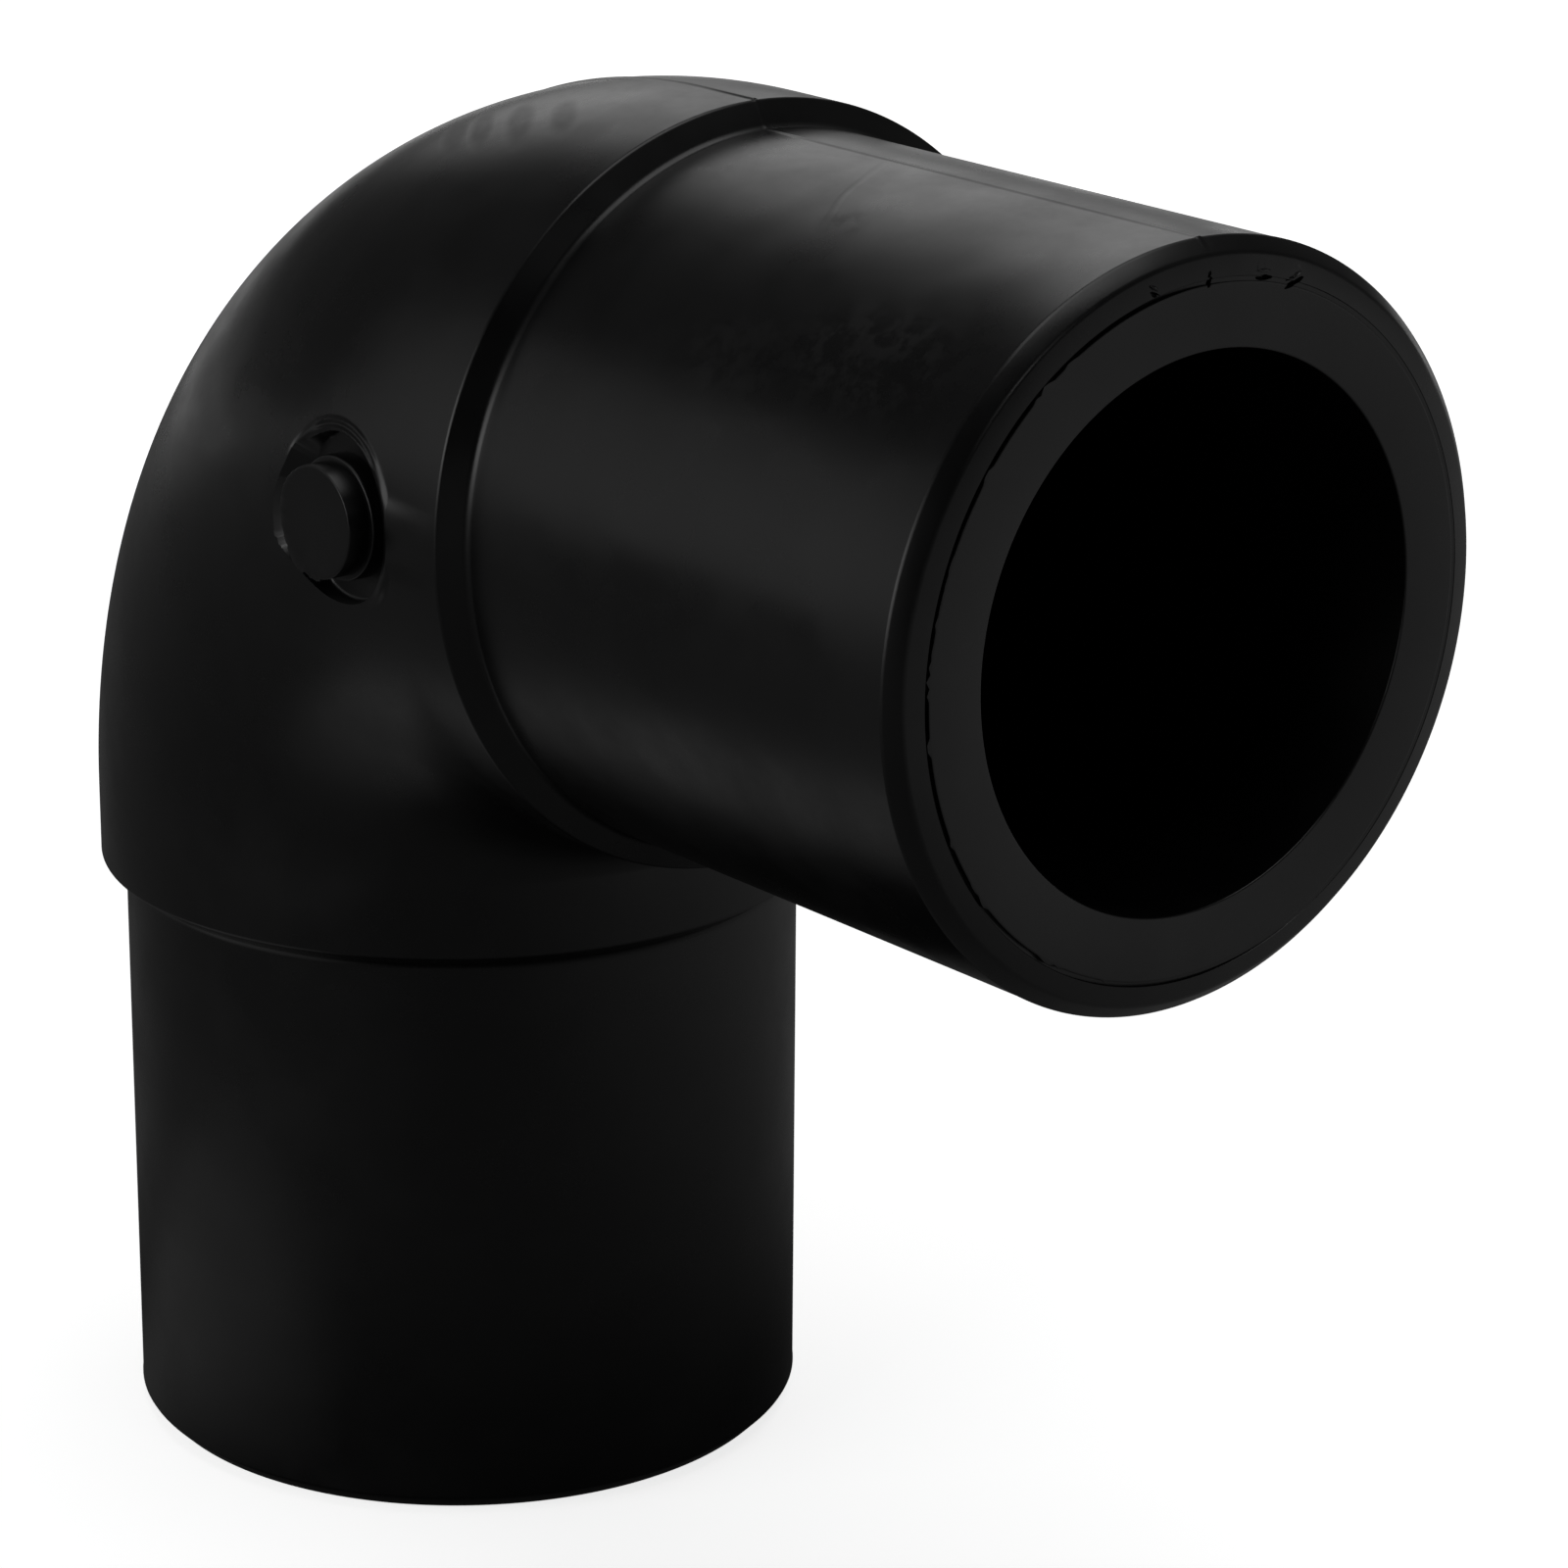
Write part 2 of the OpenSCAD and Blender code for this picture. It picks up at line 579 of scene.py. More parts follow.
    def tear(self, bar: bpy.types.Object) -> None:
        """Spread the cut's edge at the left, and draw small torn bits out of it.

        Args:
            bar: The stub.
        """
        chance = random.Random(self.seed)
        middle = (self.place[0], self.top_y, self.place[1])
        for low, high in self.torn_rims:
            pick(bar, lambda place: self.on_edge(place, 0.30 * MM, low, high))
            bpy.ops.transform.resize(value=(self.torn_scale, 1, self.torn_scale), center_override=middle)
        for angle, out in self.torn_bits:
            turn = math.radians(angle)
            width = 4.0 + 2.5 * chance.random()
            if pick(bar, lambda place: self.on_edge(place, 0.35 * MM, angle - width, angle + width)):
                move = (out * MM * math.cos(turn), 0.12 * MM, out * MM * math.sin(turn))
                bpy.ops.transform.translate(value=move)
        bpy.ops.object.mode_set(mode="OBJECT")


@dataclass(frozen=True)
class Chip:
    """A chip beside the side end's groove: its place from the leg's axis, in millimetres, and its form."""

    across: float
    up: float
    length: float
    tilt: float


@dataclass
class Ends:
    """What the facing tool left on both ends: a groove that fades out, and burrs along it."""

    sizes: ElbowSizes
    seed: int = 11
    smear: float = 0.6 * MM
    burr_reach: tuple[float, ...] = (0.12 * MM, 0.2 * MM, 0.3 * MM)
    burr_count: int = 9
    burr_span: Point = (118, 262)
    burr_width: Point = (0.7, 2.2)
    chip_r: float = 0.5 * MM
    chip_in: float = 0.26 * MM
    chip_scale: Place = (0.46, 1.0, 0.5)
    nick_scale: Place = (1.6, 1.15, 0.62)
    nick_drop: float = 0.75 * MM
    chips: tuple[Chip, ...] = (
        Chip(-8.45, 40.9, 1.5, 28.0),
        Chip(-0.4, 41.2, 1.2, -60.0),
        Chip(7.9, 40.6, 2.4, 6.0),
        Chip(12.6, 39.3, 3.0, -16.0),
    )

    def turn(self, place: Vector, leg: Leg) -> Point:
        """Radius and angle of a place about a leg's axis.

        Args:
            place: A place on the skin.
            leg: The leg.

        Returns:
            The radius, and the angle in degrees from +Y towards the top (or the back) of the leg.
        """
        up = place.z - self.sizes.centre_to_face if leg is Leg.SIDE else -place.x
        return math.hypot(place.y, up), math.degrees(math.atan2(up, place.y))

    def depth(self, place: Vector, leg: Leg) -> float:
        """Distance of a place from an end face, into the leg."""
        return self.sizes.centre_to_face - place.x if leg is Leg.SIDE else place.z

    def shallow(self, place: Vector, leg: Leg) -> float:
        """How much of the groove is smeared shut at a place, 0 to 1.

        Args:
            place: A place on the skin.
            leg: The leg that it is on.

        Returns:
            The weight of the push towards the end face.
        """
        s = self.sizes
        radius, angle = self.turn(place, leg)
        on_floor = abs(self.depth(place, leg) - s.groove_d) < LEVEL / 5
        if not on_floor or abs(radius - s.face_r) > 0.6 * s.groove_w:
            return 0.0
        open_part = ease(angle, 84, 104) if angle > 0 else 1 - ease(angle, -120, -60)
        stretch = 0.25 * max(0.0, math.sin(math.radians(angle * 7))) * ease(angle, 40, 84)
        return 1 - max(open_part, stretch)

    def burr(self, piece: bpy.types.Object, leg: Leg) -> None:
        """Pull short bits of the groove's inner edge outwards.

        Args:
            piece: The elbow.
            leg: The leg to work on.
        """
        s = self.sizes
        chance = random.Random(self.seed + leg.value)
        edge = s.face_r - s.groove_w / 2
        for out in self.burr_reach:
            starts = [chance.uniform(*self.burr_span) for _ in range(self.burr_count)]
            spans = [(start, start + chance.uniform(*self.burr_width)) for start in starts]

            def picked(place: Vector) -> bool:
                """Tell whether a vertex of the groove's inner edge lies in one of the spans."""
                radius, angle = self.turn(place, leg)
                at_edge = edge - LEVEL <= radius <= edge + 3 * LEVEL and self.depth(place, leg) <= 2 * LEVEL
                return at_edge and any(low < angle % 360 < high for low, high in spans)

            if pick(piece, picked):
                grow = 1 + out / edge
                if leg is Leg.SIDE:
                    centre, size = (s.centre_to_face, 0, s.centre_to_face), (1, grow, grow)
                else:
                    centre, size = (0, 0, 0), (grow, grow, 1)
                bpy.ops.transform.resize(value=size, center_override=centre)
        bpy.ops.object.mode_set(mode="OBJECT")

    def work(self, piece: bpy.types.Object) -> None:
        """Leave the tool's marks on both ends.

        Args:
            piece: The elbow.
        """
        push(piece, "X", self.smear, lambda place: self.shallow(place, Leg.SIDE))
        push(piece, "Z", -self.smear, lambda place: self.shallow(place, Leg.LOWER))
        self.burr(piece, Leg.SIDE)
        self.burr(piece, Leg.LOWER)

    def slivers(self, use: Boolean) -> list[bpy.types.Object]:
        """Build the small chips near the top of the side end, or the nicks that they were torn from.

        Args:
            use: CUT for the nicks, JOIN for the chips.

        Returns:
            The small closed slivers.
        """
        s = self.sizes
        nick = use is Boolean.CUT
        made = []
        drop = self.nick_drop if nick else 0.0
        thick, long, high = self.nick_scale if nick else self.chip_scale
        for number, chip in enumerate(self.chips):
            select_none()
            height = s.centre_to_face + chip.up * MM - drop
            place = (s.centre_to_face - self.chip_in, chip.across * MM, height)
            bpy.ops.mesh.primitive_ico_sphere_add(subdivisions=3, radius=self.chip_r, location=place)
            sliver = bpy.context.object
            sliver.name = f"end_nick_{number}" if nick else f"end_chip_{number}"
            bpy.ops.object.mode_set(mode="EDIT")
            bpy.ops.mesh.select_all(action="SELECT")
            bpy.ops.transform.resize(value=(thick, long * chip.length, high), center_override=place)
            bpy.ops.transform.rotate(value=math.radians(chip.tilt), orient_axis="X", center_override=place)
            bpy.ops.transform.vertex_random(offset=self.chip_r / 10, uniform=0.0, normal=0.5, seed=number + 3)
            bpy.ops.object.mode_set(mode="OBJECT")
            apply_place(sliver)
            made.append(sliver)
        return made


@dataclass
class Elbow:
    """The moulded elbow: one closed skin with the marks of its mould and of its trimming."""

    sizes: ElbowSizes
    parting_h: float = 0.2 * MM
    spigot_parting_h: float = 0.15 * MM
    shoulder_parting_h: float = 0.04 * MM
    parting_half_w: float = 0.5 * MM
    barrel_rings: int = 8
    bend_rings: int = 80
    bore_rings: int = 30
    pit_place: Place = (5.5 * MM, -19.6 * MM, 172.8 * MM)
    pit_r: float = 0.42 * MM
    smooth_below: float = 38.0

    def leg_section(self) -> Section:
        """Section of a leg's outside, from the bore's edge at the end face to the bend.

        Returns:
            Radius and distance from the end face of each ring.
        """
        s = self.sizes
        e = s.edge_r
        groove_in = s.face_r - s.groove_w / 2
        groove_out = s.face_r + s.groove_w / 2
        knee_r = s.spigot_r - s.rim_bevel_h
        root = (s.spigot_r, s.spigot_len - s.shoulder_slope)
        rim = (s.body_r, s.spigot_len)
        rings = self.barrel_rings
        first = s.rim_bevel_len + 3 * e
        last = root[1] - s.root_fillet_r
        barrel = [(s.spigot_r, first + (last - first) * ring / rings) for ring in range(rings + 1)]
        return (
            arc((s.bore_r + e, e), e, 180, 270, 3)
            + [(groove_in - e, 0.0)]
            + arc((groove_in - e / 2, e / 2), e / 2, 270, 360, 2)
            + [(groove_in, s.groove_d), (groove_out, s.groove_d)]
            + [(groove_out, e / 2), (groove_out + e / 4, e / 6), (groove_out + e, e / 3)]
            + [(knee_r - 2 * e, s.face_bevel_len - e / 2), (knee_r - e / 2, s.face_bevel_len)]
            + [(knee_r + e / 2, s.face_bevel_len + e)]
            + [(s.spigot_r - e / 2, s.rim_bevel_len - e), (s.spigot_r + e / 4, s.rim_bevel_len + e / 4)]
            + [(s.spigot_r + e / 4, s.rim_bevel_len + e)]
            + barrel
            + rounded((s.spigot_r, last), root, rim, s.root_fillet_r, 7)
            + rounded(root, rim, (s.body_r, s.leg_len), s.shoulder_edge_r, 6)
            + [(s.body_r, s.leg_len)]
        )

    def parting(self, place: Vector) -> float:
        """Height of the parting line at a place on the skin.

        Args:
            place: A place on the skin.

        Returns:
            The height at that place, in metres.
        """
        s = self.sizes
        if abs(place.y) > self.parting_half_w:
            return 0.0
        beside = ease(abs(place.y), self.parting_half_w, 0.05 * MM)
        along_x = place.x - s.bend_r
        along_z = place.z - s.leg_len
        if along_x > 0 and place.z > s.centre_to_face:
            reach, station = place.z - s.centre_to_face, s.centre_to_face - place.x
        elif along_z < 0 and place.x < 0:
            reach, station = -place.x, place.z
        elif along_x <= 0 <= along_z:
            reach, station = math.hypot(along_x, along_z) - s.bend_r, s.leg_len
        else:
            return 0.0
        if reach < s.spigot_r - 0.5 * MM or station < s.rim_bevel_len:
            return 0.0
        if station > s.spigot_len + 0.3 * MM:
            return beside * self.parting_h
        if station > s.spigot_len - s.shoulder_slope - 0.4 * MM:
            return beside * self.shoulder_parting_h
        return beside * self.spigot_parting_h

    def skin(self) -> bpy.types.Object:
        """Grow the skin through both legs, the bend and the bore, and close it.

        Returns:
            The skin's object.
        """
        s = self.sizes
        section = self.leg_section()
        skin = RingSkin(s)
        skin.start(section[0][0])
        bpy.ops.transform.translate(value=(0, 0, section[0][1]))
        skin.follow(Leg.LOWER, section[1:], section[0][1])
        skin.bend(Leg.SIDE, self.bend_rings)
        mirrored = [(radius, s.centre_to_face - place) for radius, place in reversed(section)]
        station = skin.follow(Leg.SIDE, mirrored[1:], mirrored[0][1])
        skin.follow(Leg.SIDE, [(s.bore_r, s.bend_r)], station)
        skin.bend(Leg.LOWER, self.bore_rings)
        skin.follow(Leg.LOWER, [(s.bore_r, section[0][1])], s.leg_len)
        bpy.ops.mesh.select_all(action="SELECT")
        bpy.ops.mesh.remove_doubles(threshold=0.01 * MM)
        bpy.ops.mesh.normals_make_consistent(inside=False)
        bpy.ops.object.mode_set(mode="OBJECT")
        piece = bpy.context.object
        apply_place(piece)
        return piece

    def pit(self) -> bpy.types.Object:
        """Build the negative of the one small pit, on the back of the bend.

        Returns:
            The cutter's object.
        """
        select_none()
        bpy.ops.mesh.primitive_ico_sphere_add(subdivisions=4, radius=self.pit_r, location=self.pit_place)
        bpy.context.object.name = "pit_cutter"
        apply_place(bpy.context.object)
        return bpy.context.object

    def build(self) -> bpy.types.Object:
        """Build the skin, raise its marks, and cut and join the gate.

        Returns:
            The elbow's object.
        """
        piece = self.skin()
        LOG.info("skin: %d faces", len(piece.data.polygons))
        gate = Gate(self.sizes)
        ends = Ends(self.sizes)
        gate.refine(piece)
        relief = 0.4 * MM
        push(piece, "NORMAL", relief, lambda place: (self.parting(place) + gate.lip(place)) / relief)
        ends.work(piece)
        combine(piece, gate.cutter(), Boolean.CUT)
        combine(piece, gate.stub(), Boolean.JOIN)
        combine(piece, self.pit(), Boolean.CUT)
        for use in (Boolean.CUT, Boolean.JOIN):
            for sliver in ends.slivers(use):
                combine(piece, sliver, use)
        pick(piece, lambda place: True)
        bpy.ops.mesh.remove_doubles(threshold=0.002 * MM)
        bpy.ops.mesh.normals_make_consistent(inside=False)
        bpy.ops.object.mode_set(mode="OBJECT")
        make_active(piece)
        bpy.ops.object.shade_smooth_by_angle(angle=math.radians(self.smooth_below))
        return piece


@dataclass
class NodeWork:
    """Adds nodes to one shader tree."""

    tree: bpy.types.NodeTree
    place: Socket = field(init=False)

    def __post_init__(self) -> None:
        """Add the coordinates that every pattern here is laid in: the piece's own."""
        self.place = self.tree.nodes.new("ShaderNodeTexCoord").outputs["Object"]

    def noise(self, scale: float, detail: float, roughness: float) -> Socket:
        """Add a noise texture.

        Args:
            scale: Waves in a metre.
            detail: Number of finer layers.
            roughness: Weight of the finer layers.

        Returns:
            The noise's value, mostly 0.3 to 0.7.
        """
        node = self.tree.nodes.new("ShaderNodeTexNoise")
        node.inputs["Scale"].default_value = scale
        node.inputs["Detail"].default_value = detail
        node.inputs["Roughness"].default_value = roughness
        self.tree.links.new(self.place, node.inputs["Vector"])
        return node.outputs["Fac"]

    def ramp(self, value: Socket, start: float, end: float, low: float, high: float) -> Socket:
        """Map a value's range to another with a smooth step.

        Args:
            value: The value.
            start: Where the first range begins.
            end: Where it ends.
            low: The result at its beginning.
            high: The result at its end.

        Returns:
            The mapped value.
        """
        node = self.tree.nodes.new("ShaderNodeMapRange")
        node.interpolation_type = "SMOOTHSTEP"
        for name, setting in (("From Min", start), ("From Max", end), ("To Min", low), ("To Max", high)):
            node.inputs[name].default_value = setting
        self.tree.links.new(value, node.inputs["Value"])
        return node.outputs["Result"]

    def join(self, operation: str, *values: Input) -> Socket:
        """Join values with a math node.

        Args:
            operation: The node's operation.
            values: Sockets or numbers, in the node's order.

        Returns:
            The result.
        """
        node = self.tree.nodes.new("ShaderNodeMath")
        node.operation = operation
        for socket, value in zip(node.inputs, values):
            if isinstance(value, float):
                socket.default_value = value
            else:
                self.tree.links.new(value, socket)
        return node.outputs["Value"]

    def vector(self, operation: str, first: Socket, second: Vector | None = None) -> Socket:
        """Measure a vector with a vector math node.

        Args:
            operation: DOT_PRODUCT or LENGTH.
            first: The vector.
            second: The fixed vector of a dot product.

        Returns:
            The measured value.
        """
        node = self.tree.nodes.new("ShaderNodeVectorMath")
        node.operation = operation
        self.tree.links.new(first, node.inputs[0])
        if second is not None:
            node.inputs[1].default_value = second
        return node.outputs["Value"]

    def mix(self, share: Socket, first: Input, second: Input) -> Socket:
        """Mix two values.

        Args:
            share: Share of the second value.
            first: The value at 0, a socket or a number.
            second: The value at 1, a socket or a number.

        Returns:
            The mixed value.
        """
        node = self.tree.nodes.new("ShaderNodeMix")
        self.tree.links.new(share, node.inputs["Factor"])
        for name, value in (("A", first), ("B", second)):
            if isinstance(value, float):
                node.inputs[name].default_value = value
            else:
                self.tree.links.new(value, node.inputs[name])
        return node.outputs["Result"]


@dataclass(frozen=True)
class Smudge:
    """A soft oval mark on the skin, in millimetres, turned about the vertical by some degrees."""

    place: Place
    half: Place
    weight: float = 1.0
    turn: float = 0.0

    def cover(self, work: NodeWork) -> Socket:
        """Lay the mark in a shader tree.

        Args:
            work: The shader tree.

        Returns:
            How strongly the mark covers a place, most at its middle.
        """
        node = work.tree.nodes.new("ShaderNodeMapping")
        node.vector_type = "TEXTURE"
        node.inputs["Location"].default_value = [value * MM for value in self.place]
        node.inputs["Rotation"].default_value = (0.0, 0.0, math.radians(self.turn))
        node.inputs["Scale"].default_value = [value * MM for value in self.half]
        work.tree.links.new(work.place, node.inputs["Vector"])
        return work.ramp(work.vector("LENGTH", node.outputs["Vector"]), 1.25, 0.45, 0.0, self.weight)


@dataclass(frozen=True)
class Polyethylene:
    """Black moulded polyethylene: half matt, waxy, faintly mottled, with the marks that handling left."""

    name: str = "black_polyethylene"
    colour: Place = (0.0011, 0.0011, 0.0012)
    haze: float = 2.2
    ior: float = 1.5
    roughness: float = 0.28
    mottle: float = 0.06
    grain: float = 0.05
    scuffed: float = 0.16
    handled: float = 0.10
    relief: float = 0.06 * MM
    swell_height: float = 4.0
    dent_height: float = -0.6
    line_height: float = -0.5
    line_station: float = 87.5 * MM
    line_slant: float = 0.52
    line_waver: float = 2.4 * MM
    line_half_w: float = 0.8 * MM
    dents: tuple[Smudge, ...] = (
        Smudge((26.5, -19.3, 181.2), (6.5, 1.6, 9.0), 0.7, -39.7),
        Smudge((31.2, -18.6, 182.8), (7.5, 1.5, 9.0), 0.9, -39.7),
        Smudge((37.2, -17.2, 184.5), (8.0, 1.9, 9.0), 1.0, -39.7),
        Smudge((43.6, -15.4, 185.8), (6.5, 1.8, 9.0), 0.8, -39.7),
    )
    scuffs: tuple[Smudge, ...] = (
        Smudge((119.0, -31.0, 173.0), (15.0, 9.0, 7.0), 1.0),
        Smudge((100.0, -34.0, 169.0), (11.0, 8.0, 6.0), 0.6),
        Smudge((97.5, -17.0, 182.2), (4.0, 3.0, 3.0), 0.8),
    )

    def flow_line(self, work: NodeWork) -> Socket:
        """A faint line across the top of the side barrel, where two flows of melt met.

        Args:
            work: The shader tree.

        Returns:
            The line's weight, 0 to 1.
        """
        split = work.tree.nodes.new("ShaderNodeSeparateXYZ")
        work.tree.links.new(work.place, split.inputs["Vector"])
        slant = work.join("MULTIPLY_ADD", split.outputs["Y"], self.line_slant, split.outputs["X"])
        station = work.join("MULTIPLY_ADD", work.noise(90.0, 1.0, 0.5), self.line_waver, slant)
        offset = work.join("ABSOLUTE", work.join("SUBTRACT", station, self.line_station))
        line = work.ramp(offset, self.line_half_w, 0.05 * MM, 0.0, 1.0)
        start = work.ramp(split.outputs["Y"], -0.6 * MM, -1.4 * MM, 0.0, 1.0)
        end = work.ramp(split.outputs["Y"], -19 * MM, -16 * MM, 0.0, 1.0)
        top = work.ramp(split.outputs["Z"], 179 * MM, 181 * MM, 0.0, 1.0)
        return work.join("MULTIPLY", work.join("MULTIPLY", line, start), work.join("MULTIPLY", end, top))

    def strongest(self, work: NodeWork, marks: tuple[Smudge, ...]) -> Socket:
        """Lay several marks in a shader tree.

        Args:
            work: The shader tree.
            marks: The marks.

        Returns:
            The cover of the mark that is strongest at a place.
        """
        value = marks[0].cover(work)
        for mark in marks[1:]:
            value = work.join("MAXIMUM", value, mark.cover(work))
        return value

    def make(self) -> bpy.types.Material:
        """Build the material: its roughness, its colour and its low relief.

        Returns:
            The finished material.
        """
        material = bpy.data.materials.new(self.name)
        material.use_nodes = True
        shader = material.node_tree.nodes["Principled BSDF"]
        shader.inputs["IOR"].default_value = self.ior
        work = NodeWork(material.node_tree)
        links = material.node_tree.links
        dents = self.strongest(work, self.dents)
        links.new(self.sheen(work, dents), shader.inputs["Roughness"])
        links.new(self.tone(work), shader.inputs["Base Color"])
        swell = work.join("MULTIPLY", work.noise(60.0, 1.0, 0.5), self.swell_height)
        lined = work.join("MULTIPLY_ADD", self.flow_line(work), self.line_height, swell)
        bump_node = work.tree.nodes.new("ShaderNodeBump")
        bump_node.inputs["Strength"].default_value = 1.0
        bump_node.inputs["Distance"].default_value = self.relief
        links.new(work.join("MULTIPLY_ADD", dents, self.dent_height, lined), bump_node.inputs["Height"])
        links.new(bump_node.outputs["Normal"], shader.inputs["Normal"])
        return material

    def sheen(self, work: NodeWork, dents: Socket) -> Socket:
        """Lay the roughness: mottled all over, duller where the skin is scuffed or was handled.

        Args:
            work: The shader tree.
            dents: The cover of the finger marks.

        Returns:
            The roughness.
        """
        broken = work.ramp(work.noise(260.0, 3.0, 0.75), 0.42, 0.6, 0.0, 1.0)
        scuffs = work.join("MULTIPLY", self.strongest(work, self.scuffs), broken)
        low, high = self.roughness - self.mottle, self.roughness + self.mottle
        mottled = work.ramp(work.noise(48.0, 3.0, 0.6), 0.3, 0.7, low, high)
        speckled = work.join("MULTIPLY_ADD", work.noise(900.0, 1.0, 0.6), self.grain, mottled)
        handled = work.join("MULTIPLY_ADD", dents, self.handled, speckled)
        return work.join("MULTIPLY_ADD", scuffs, self.scuffed, handled)

    def tone(self, work: NodeWork) -> Socket:
        """Lay the colour, with a faint haze in patches.

        Args:
            work: The shader tree.

        Returns:
            The colour.
        """
        node = work.tree.nodes.new("ShaderNodeMix")
        node.data_type = "RGBA"
        node.inputs[6].default_value = (*self.colour, 1.0)
        node.inputs[7].default_value = (*(self.haze * part for part in self.colour), 1.0)
        work.tree.links.new(work.ramp(work.noise(70.0, 3.0, 0.7), 0.35, 0.75, 0.0, 1.0), node.inputs[0])
        return node.outputs[2]


@dataclass(frozen=True)
class Lamp:
    """One soft lamp that faces the elbow, in metres and degrees, with its way as Studio.toward takes it."""

    name: str
    aim: Place
    way: Point
    distance: float
    size: Point
    radiance: float


@dataclass(frozen=True)
class Studio:
    """Pale floor, soft lamps and the camera at the photograph's viewing angle."""

    azimuth: float = 50.329
    elevation: float = 18.468
    roll: float = 0.430
    distance: float = 684.7 * MM
    slide: Point = (20.23 * MM, -3.12 * MM)
    target: Place = (36 * MM, 0.0, 99 * MM)
    focal_px: float = 5436.2
    frame_px: float = 1600.0
    sensor_mm: float = 36.0
    backdrop_way: Point = (-3, 26)
    backdrop_edge: Point = (25, 2)
    room_way: Point = (0, 20)
    room_light: Point = (0.012, 0.06)
    floor_size: float = 12.0
    floor_colour: float = 0.86
    floor_glow: Point = (0.80, 1.0)
    # Painted reflection: the floor glows to glossy rays only, faintly and dimmer near the elbow, more to the
    # right and in a soft patch at the left front.
    floor_reflected_glow: float = 0.075
    floor_right_glow: float = 0.18
    floor_left_glow: Smudge = Smudge((-35.0, -100.0, 0.0), (62.0, 62.0, 62.0), 0.14)
    lamps: tuple[Lamp, ...] = (
        Lamp("key", (0.075, 0.0, 0.125), (60, 82), 2.0, (1.6, 1.6), 1.2),
        Lamp("left", (0.128, -0.041, 0.158), (-80, 12), 0.40, (0.20, 0.24), 0.26),
        Lamp("side", (0.062, -0.047, 0.145), (-124, 14), 0.9, (0.75, 0.42), 2.0),
        Lamp("right", (0.075, 0.0, 0.125), (100, 6), 1.5, (1.0, 0.6), 0.22),
        Lamp("front", (0.075, 0.0, 0.125), (138, 30), 2.0, (0.34, 0.34), 1.3),
    )

    def camera(self) -> bpy.types.Object:
        """Add the camera.

        Returns:
            The camera object, made the scene's camera.
        """
        turn = Euler((math.radians(90 - self.elevation), 0, math.radians(self.azimuth))).to_matrix()
        turn = turn @ Matrix.Rotation(math.radians(self.roll), 3, "Z")
        data = bpy.data.cameras.new("camera")
        data.sensor_width = self.sensor_mm
        data.lens = self.focal_px * self.sensor_mm / self.frame_px
        data.clip_start = 0.01
        eye = bpy.data.objects.new("camera", data)
        eye.matrix_world = turn.to_4x4()
        eye.location = Vector(self.target) + turn @ Vector((self.slide[0], self.slide[1], self.distance))
        bpy.context.scene.collection.objects.link(eye)
        bpy.context.scene.camera = eye
        return eye

    def toward(self, azimuth: float, elevation: float) -> Vector:
        """A direction given from the camera's way of looking.

        Args:
            azimuth: Degrees from straight on, positive to the camera's right.
            elevation: Degrees above the horizon.

        Returns:
            The unit vector from the elbow towards that place.
        """
        turn = math.radians(self.azimuth + 90 - azimuth)
        rise = math.radians(elevation)
        return Vector((math.cos(turn) * math.cos(rise), math.sin(turn) * math.cos(rise), math.sin(rise)))

    def hang(self, lamp: Lamp) -> None:
        """Add one lamp.

        Args:
            lamp: Its sizes and its place.
        """
        way = self.toward(*lamp.way)
        data = bpy.data.lights.new(lamp.name, "AREA")
        data.shape = "RECTANGLE"
        data.size, data.size_y = lamp.size
        data.energy = lamp.radiance * math.pi * lamp.size[0] * lamp.size[1]
        light = bpy.data.objects.new(lamp.name, data)
        light.location = Vector(lamp.aim) + way * lamp.distance
        light.rotation_euler = (-way).to_track_quat("-Z", "Y").to_euler()
        bpy.context.scene.collection.objects.link(light)

    def seen(self, work: NodeWork, behind: Socket) -> Socket:
        """Tell where the white backdrop shows: to the camera, and mirrored where it lies behind the elbow.

        Args:
            work: The shader tree.
            behind: How far a place or a direction lies behind the elbow, 0 to 1.

        Returns:
            The share of white, 0 to 1.
        """
        path = work.tree.nodes.new("ShaderNodeLightPath")
        mirror = work.join("MAXIMUM", path.outputs["Is Glossy Ray"], path.outputs["Is Transmission Ray"])
        return work.join("MAXIMUM", path.outputs["Is Camera Ray"], work.join("MULTIPLY", mirror, behind))

    def world(self) -> None:
        """Set the surroundings: dim room light, and the white backdrop where it is seen."""
        world = bpy.data.worlds.new("studio")
        bpy.context.scene.world = world
        world.use_nodes = True
        work = NodeWork(world.node_tree)
        background = world.node_tree.nodes["Background"]
        background.inputs["Color"].default_value = (1, 1, 1, 1)
        way = world.node_tree.nodes.new("ShaderNodeTexCoord").outputs["Generated"]
        edge, full = (math.cos(math.radians(angle)) for angle in self.backdrop_edge)
        along = work.vector("DOT_PRODUCT", way, self.toward(*self.backdrop_way))
        behind = work.ramp(along, edge, full, 0.0, 1.0)
        ahead = work.vector("DOT_PRODUCT", way, self.toward(*self.room_way))
        room = work.ramp(ahead, -0.7, 0.2, *self.room_light)
        strength = work.mix(self.seen(work, behind), room, 1.0)
        world.node_tree.links.new(strength, background.inputs["Strength"])

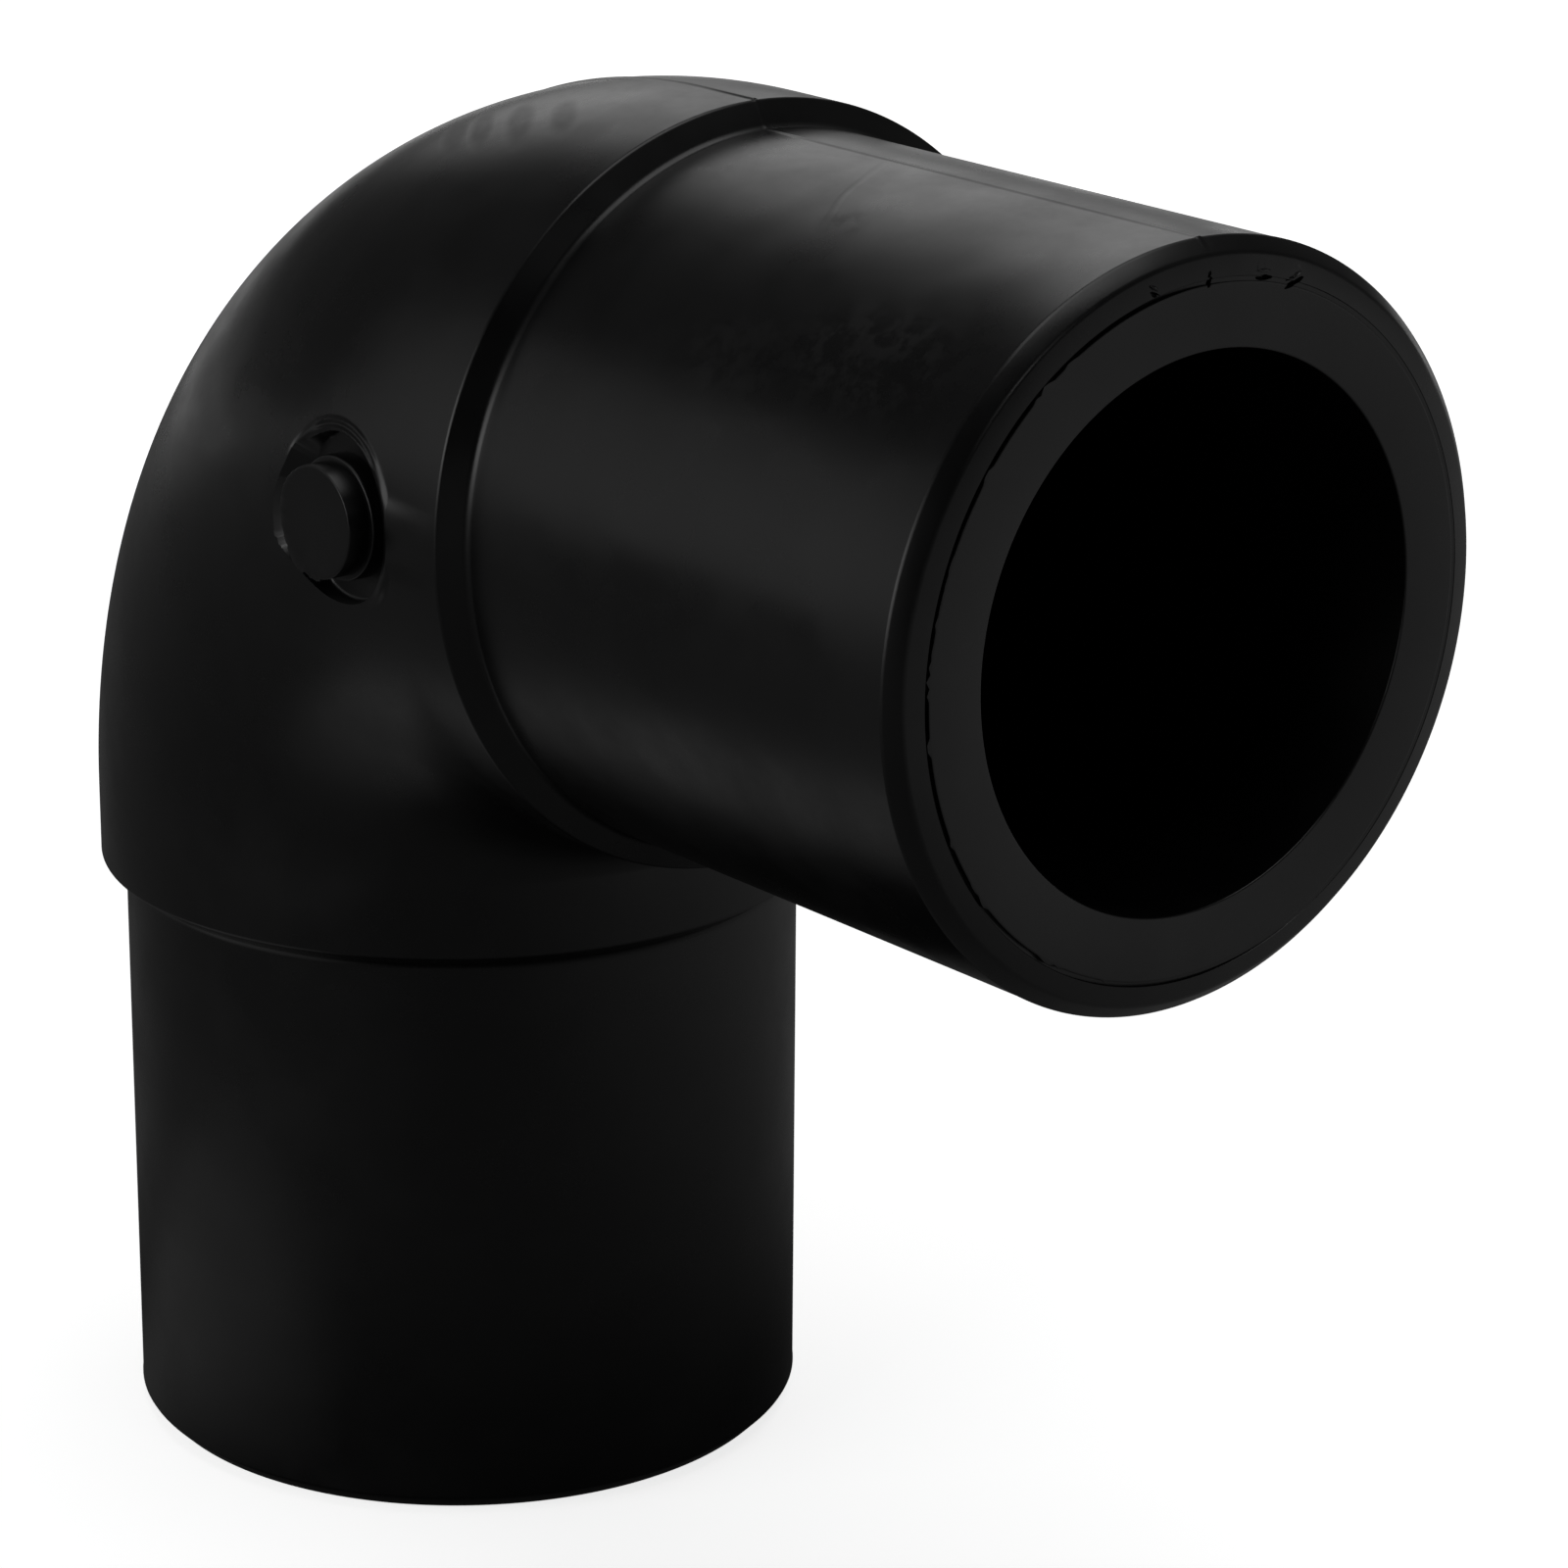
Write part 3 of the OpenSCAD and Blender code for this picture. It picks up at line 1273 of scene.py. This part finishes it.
    def floor(self) -> None:
        """Add the pale floor: lit by the lamps, with the object's shadow, and white beyond it; to glossy rays
        it is black and glows as a painted reflection, dimmer near the object, stronger to the right and in a
        patch at the left front.
        """
        select_none()
        bpy.ops.mesh.primitive_plane_add(size=self.floor_size, location=(0, 0, 0))
        plane = bpy.context.object
        plane.name = "floor"
        material = bpy.data.materials.new("pale_floor")
        material.use_nodes = True
        links = material.node_tree.links
        shader = material.node_tree.nodes["Principled BSDF"]
        shader.inputs["Roughness"].default_value = 0.8
        shader.inputs["Specular IOR Level"].default_value = 0.1
        shader.inputs["Emission Color"].default_value = (1, 1, 1, 1)
        work = NodeWork(material.node_tree)
        away = work.vector("LENGTH", work.place)
        glow = work.ramp(away, 0.15, 0.6, *self.floor_glow)
        behind = work.ramp(work.vector("DOT_PRODUCT", work.place, self.toward(0, 0)), 0.9, 2.5, 0.0, 1.0)
        lit = work.join("MULTIPLY", self.seen(work, behind), glow)
        # Painted reflection and shade: to glossy rays only, the floor glows, weaker near the elbow, stronger
        # towards the right and in a soft patch at the left front, so the black skin mirrors these glows.
        rightwards = work.vector("DOT_PRODUCT", work.place, self.toward(90, 0))
        right = work.ramp(rightwards, 0.05, 0.45, 0.0, self.floor_right_glow)
        near = work.ramp(away, 0.05, 0.13, 0.25, 1.0)
        around = work.join("MULTIPLY_ADD", near, self.floor_reflected_glow, self.floor_left_glow.cover(work))
        glossy = material.node_tree.nodes.new("ShaderNodeLightPath").outputs["Is Glossy Ray"]
        mirrored = work.join("MULTIPLY", glossy, work.join("ADD", right, around))
        links.new(work.join("MAXIMUM", lit, mirrored), shader.inputs["Emission Strength"])
        links.new(work.mix(glossy, self.floor_colour, 0.0), shader.inputs["Base Color"])
        plane.data.materials.append(material)

    def build(self) -> None:
        """Set the view transform, camera, lamps, surroundings and floor."""
        bpy.context.scene.view_settings.view_transform = "Standard"
        self.camera()
        self.world()
        self.floor()
        for lamp in self.lamps:
            self.hang(lamp)


def main() -> None:
    """Build the elbow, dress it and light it."""
    logging.basicConfig(level=logging.INFO, format="%(message)s")
    Studio().build()
    piece = Elbow(ElbowSizes.from_frame()).build()
    piece.name = "elbow_moulding"
    piece.data.materials.append(Polyethylene().make())
    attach(piece, "root")
    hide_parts("elbow")
    triangles = sum(len(face.vertices) - 2 for face in piece.data.polygons)
    LOG.info("elbow: %d faces, %d triangles", len(piece.data.polygons), triangles)


if __name__ == "__main__":
    main()
